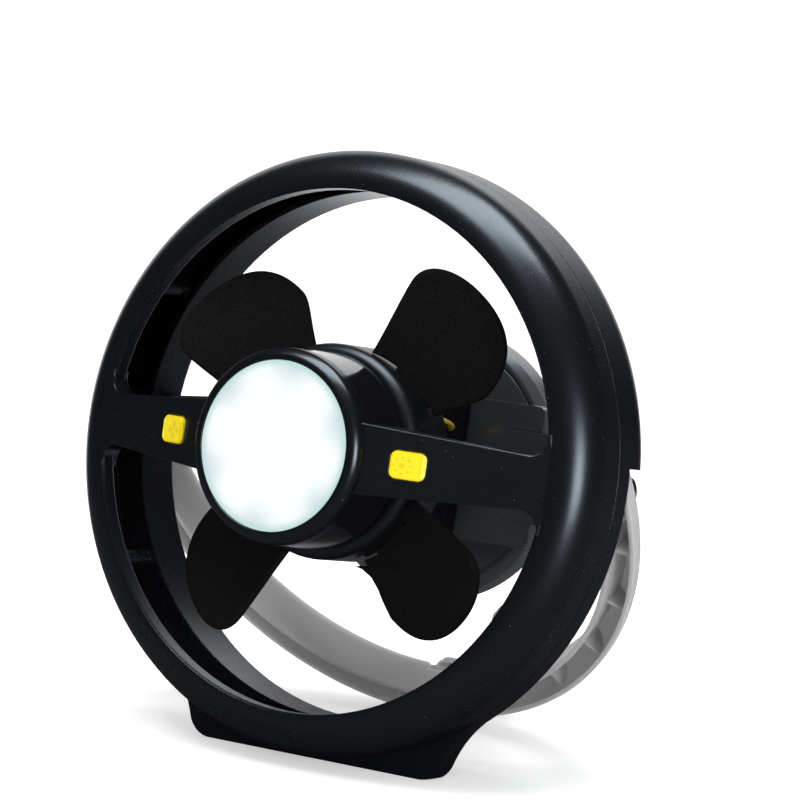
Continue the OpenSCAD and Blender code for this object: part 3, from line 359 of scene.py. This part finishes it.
def key_yellow(name, middle, mark):
    """Bright yellow plastic with a rim and a small raised mark about its middle."""
    material, shader, place = new_finish(name)
    front = on_fan(place)
    across, up = parts_of(front)[:2]
    across = across - middle
    far = far_from(front, (middle, 0))
    round_it = far.maths("ARCTAN2", up, across)
    side = far.maths("MAXIMUM", abs(across) / button_reach, abs(up) / button_rise)
    raised = mark(far, round_it)
    fine = grain(place, 0.0005)
    height = raised + side.step(0.80, 0.86) + 0.15 * fine
    bump = place.node("ShaderNodeBump", {}, {"Strength": 0.7, "Distance": 0.00025, "Height": height})
    worn = (0.55 * raised + 0.35 * grain(place, 0.002)).step(0.1, 1.0)
    yellow, amber, rim_yellow = (0.90, 0.71, 0.010, 1), (0.76, 0.56, 0.005, 1), (0.95, 0.85, 0.10, 1)
    tint = side.step(0.84, 0.92).mix(worn.mix(yellow, amber), rim_yellow)
    set_shader(shader, place, base_color=tint, roughness=0.3 + 0.1 * fine, normal=bump)
    shader.inputs["Specular IOR Level"].default_value = 0.35
    return material


def four_petals(far, turn):
    """Four blades round the middle, for the fan."""
    petals = far.maths("COSINE", turn * 4).step(-0.3, 0.5)
    return petals * far.step(0.0033, 0.0028) * far.step(0.0005, 0.0010)


def ring_of_dots(far, turn):
    """A disc with eight dots round it, for the light."""
    dot_ring = 0.0027
    dots = far.maths("COSINE", turn * 8).step(0.1, 0.7) * abs(far - dot_ring).step(0.0005, 0.0003)
    return dots + far.step(0.0011, 0.0008)


finish_nodes(key_yellow("fan_key", -button_x, four_petals), "fan_button")
finish_nodes(key_yellow("light_key", button_x, ring_of_dots), "light_button")


def board_tracks(x, y, z):
    """Straight tracks that run along a small board, about 1.2 mm apart."""
    return abs(y.maths("SINE", y * 2600)).step(0.80, 0.95) * abs(y).step(0.0080, 0.0070)


finish_nodes(plain("board_green", (0.02, 0.17, 0.06, 1), 0.35,
                   marks=board_tracks, marked=(0.04, 0.30, 0.10, 1)), "switch_boards")
finish_nodes(plain("switch_body", (0.03, 0.03, 0.03, 1), 0.4), "switches")

# ------------------------------------------------------------------ motor
# A small round motor sits in a cradle that stands on the battery block.
# Its steel can and end cap hold two magnets and the shaft's bronze bushes; yellow leads feed it.
# The same bright steel makes the fan's pins, screws and battery contacts.

finish_nodes(plain("steel", (0.62, 0.62, 0.63, 1), 0.3, 1.0), "motor_shaft", "motor_can",
             "pivot_pins", "hook_pin", "ring_screws", "pod_screws", "contact_plates")
finish_nodes(plain("end_cap", (0.02, 0.02, 0.022, 1), 0.5), "motor_end_cap")
finish_nodes(plain("ferrite", (0.06, 0.06, 0.065, 1), 0.7), "motor_magnets")
finish_nodes(plain("bronze", (0.6, 0.42, 0.2, 1), 0.4, 1.0), "motor_bushes")


def wire_turns(x, y, z):
    """Dark gaps between the turns of enamelled wire, about 0.3 mm apart."""
    return z.maths("SINE", z * 21000).step(0.1, 0.8) * 0.8


finish_nodes(plain("winding", (0.62, 0.24, 0.08, 1), 0.35, 1.0,
                   marks=wire_turns, marked=(0.14, 0.05, 0.02, 1)), "motor_armature")
finish_nodes(plain("yellow_lead", (0.8, 0.55, 0.03, 1), 0.4), "motor_leads")

# ------------------------------------------------------------------ rotor
# The hub is a deep black cup that is pressed on the motor's shaft.
# Four blades of soft black foam are held by their tabs in slots of its rim. Each is cut from
# sheet, stands at a pitch and is bent to a camber; the last has a torn barb at its root.

finish_nodes(satin_black("hub_black", rough=0.33), "rotor_hub")

lean_back = Matrix.Translation(ring_middle) @ Matrix.Rotation(math.pi / 2 - leaning, 4, "X")
hub_radius, blade_tip, blade_thick = 0.0385, 0.0804, 0.0026
blade_pitch, camber, blade_forward = math.radians(17), 0.220, 0.0005


def bend(p, q, r, s, count):
    """Points on a smooth curve from p up to s, without s; it starts towards q, comes in from r."""
    points = []
    for i in range(count):
        t = i / count
        a, b, c, d = (1 - t) ** 3, 3 * t * (1 - t) ** 2, 3 * t * t * (1 - t), t ** 3
        points.append((a * p[0] + b * q[0] + c * r[0] + d * s[0],
                       a * p[1] + b * q[1] + c * r[1] + d * s[1]))
    return points


def blade_outline(torn):
    """The flat sheet: out by the leading edge, round the tip, back to its tab; set out in mm."""
    r, t = (hub_radius + 0.0007) * 1000, blade_tip * 1000
    tab_half, tab_inside = 9, 34.7
    tab_outside = math.sqrt(r * r - tab_half * tab_half)

    def on_hub(degrees):
        return r * math.cos(math.radians(degrees)), r * math.sin(math.radians(degrees))

    lead, trail = on_hub(29), on_hub(-23.5 if torn else -19)
    shoulder, tip, heel = (t - 17, 28.5), (t - 0.6, 10), (t - 21.5, -19.6)
    points = bend(lead, (r + 6, 22.2), (t - 26, 26), shoulder, 16)
    points += bend(shoulder, (t - 8, 31), (t - 1.6, 22), tip, 20)
    points += bend(tip, (t + 0.6, -4), (t - 4, -16.6), heel, 24)
    if torn:
        points += [heel, (52, -18.7), (47.5, -17.7), (42.3, -17.4), (37.5, -19), (35.1, -20.7),
                   (38.6, -16.3)]
    else:
        points += bend(heel, (t - 26, -20.4), (r + 9, -16), trail, 14)
    points += [trail, on_hub(-16), (tab_outside, -tab_half), (tab_inside, -tab_half),
               (tab_inside, tab_half), (tab_outside, tab_half)]
    points += [on_hub(a) for a in range(16, 28, 4)]
    return [(x / 1000, y / 1000) for x, y in points]


def foam():
    """Matt black cellular foam, with painted shade in the pits of its cells."""
    material, shader, place = new_finish("blade_foam")
    cells = place.node("ShaderNodeTexVoronoi", {"feature": "F1"},
                       {"Vector": place, "Scale": 1400}, out="Distance")
    height = cells + 0.6 * grain(place, 0.004, 3)
    bump = place.node("ShaderNodeBump", {}, {"Strength": 0.8, "Distance": 0.00012, "Height": height})
    # Painted shade: the pits of the cells, low in the bump, are painted darker than the skin.
    pore_shade, skin = (0.0015, 0.0015, 0.0016, 1), (0.0060, 0.0060, 0.0063, 1)
    tint = cells.step(0.1, 0.7).mix(pore_shade, skin)
    set_shader(shader, place, base_color=tint, roughness=0.95, normal=bump)
    shader.inputs["Specular IOR Level"].default_value = 0.15
    return material


def foam_mesh(name, outline):
    """A closed padded sheet with a rounded edge, bent to the camber, as rings round its middle."""
    middle, half = Vector((0.0585, 0.004)), blade_thick / 2
    edge_radius = 0.0011
    shares = [(share, half) for share in (0.02, 0.2, 0.4, 0.6, 0.75, 0.88, 0.96)]
    insets = [(edge_radius, half), (0.0005, half * 0.88), (0.00014, half * 0.55), (0.0, 0.0)]
    levels = [("share", s, h) for s, h in shares] + [("inset", s, h) for s, h in insets]
    levels += [("inset", s, -h) for s, h in reversed(insets[:-1])]
    levels += [("share", s, -h) for s, h in reversed(shares)]
    work = bmesh.new()
    rings = []
    for kind, amount, height in levels:
        ring = []
        for point in outline:
            away = point - middle
            if kind == "share":
                spot = middle + away * amount * (1 - edge_radius / away.length)
            else:
                spot = middle + away * (1 - amount / away.length)
            ring.append(work.verts.new((spot.x, spot.y, height + spot.y ** 2 / (2 * camber))))
        rings.append(ring)
    count = len(outline)
    for inner, outer in zip(rings, rings[1:]):
        for i in range(count):
            following = (i + 1) % count
            work.faces.new((inner[i], outer[i], outer[following], inner[following]))
    work.faces.new(rings[0])
    work.faces.new(list(reversed(rings[-1])))
    bmesh.ops.recalc_face_normals(work, faces=work.faces)
    mesh = bpy.data.meshes.new(name)
    work.to_mesh(mesh)
    work.free()
    for face in mesh.polygons:
        face.use_smooth = True
    return mesh


blade_foam = foam()
for number in range(4):
    name = f"foam_blade_{number + 1}"
    mesh = foam_mesh(name, [Vector(p) for p in blade_outline(torn=number == 3)])
    mesh.transform(lean_back @ Matrix.Rotation(math.radians(45 + 90 * number), 4, "Z")
                   @ Matrix.Translation((0, 0, blade_forward)) @ Matrix.Rotation(blade_pitch, 4, "X"))
    mesh.materials.append(blade_foam)
    blade = bpy.data.objects.new(name, mesh)
    bpy.context.scene.collection.objects.link(blade)
    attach(blade, "rotor")
    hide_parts(f"blade_{number + 1}")

# ------------------------------------------------------------------ battery pod
# A round pod in two glossy dark grey halves holds three AA cells behind a sliding door.
# Two arms of the same plastic carry it from the rear of the ring.

finish_nodes(satin_black("pod_grey", colour=(0.062, 0.065, 0.072, 1), rough=0.16, etch=0.00001),
             "pod_front", "pod_back", "battery_door", "rear_arm_left", "rear_arm_right")


def copper_band(x, y, z):
    """A warm-coloured band on each cell's printed jacket, at the right as seen from the front."""
    return x.step(0.0100, 0.0104)


finish_nodes(plain("cell_jacket", (0.03, 0.03, 0.033, 1), 0.25,
                   marks=copper_band, marked=(0.45, 0.22, 0.07, 1)), "battery_cells")

# ------------------------------------------------------------------ stand and hook
# A grey half ring with ribs inside swings out behind the fan on two steel pins.
# A flat hook of the same plastic folds in a notch at its bottom, for hanging the fan.


def stand_grey():
    """Light grey plastic that lets a little light through its walls."""
    material, shader, place = new_finish("stand_grey")
    cloud = grain(place, 0.02)
    fine = grain(place, 0.0004, 3)
    bump = place.node("ShaderNodeBump", {}, {"Strength": 0.5, "Distance": 0.00002, "Height": fine})
    darker, lighter = (0.45, 0.45, 0.45, 1), (0.51, 0.51, 0.51, 1)
    tint = cloud.mix(darker, lighter)
    set_shader(shader, place, base_color=tint, normal=bump, roughness=0.42 + 0.06 * (cloud - 0.5))
    shader.inputs["Subsurface Weight"].default_value = 0.7
    shader.inputs["Subsurface Radius"].default_value = (1, 1, 1)
    shader.inputs["Subsurface Scale"].default_value = 0.006
    return material


finish_nodes(stand_grey(), "stand", "hook")
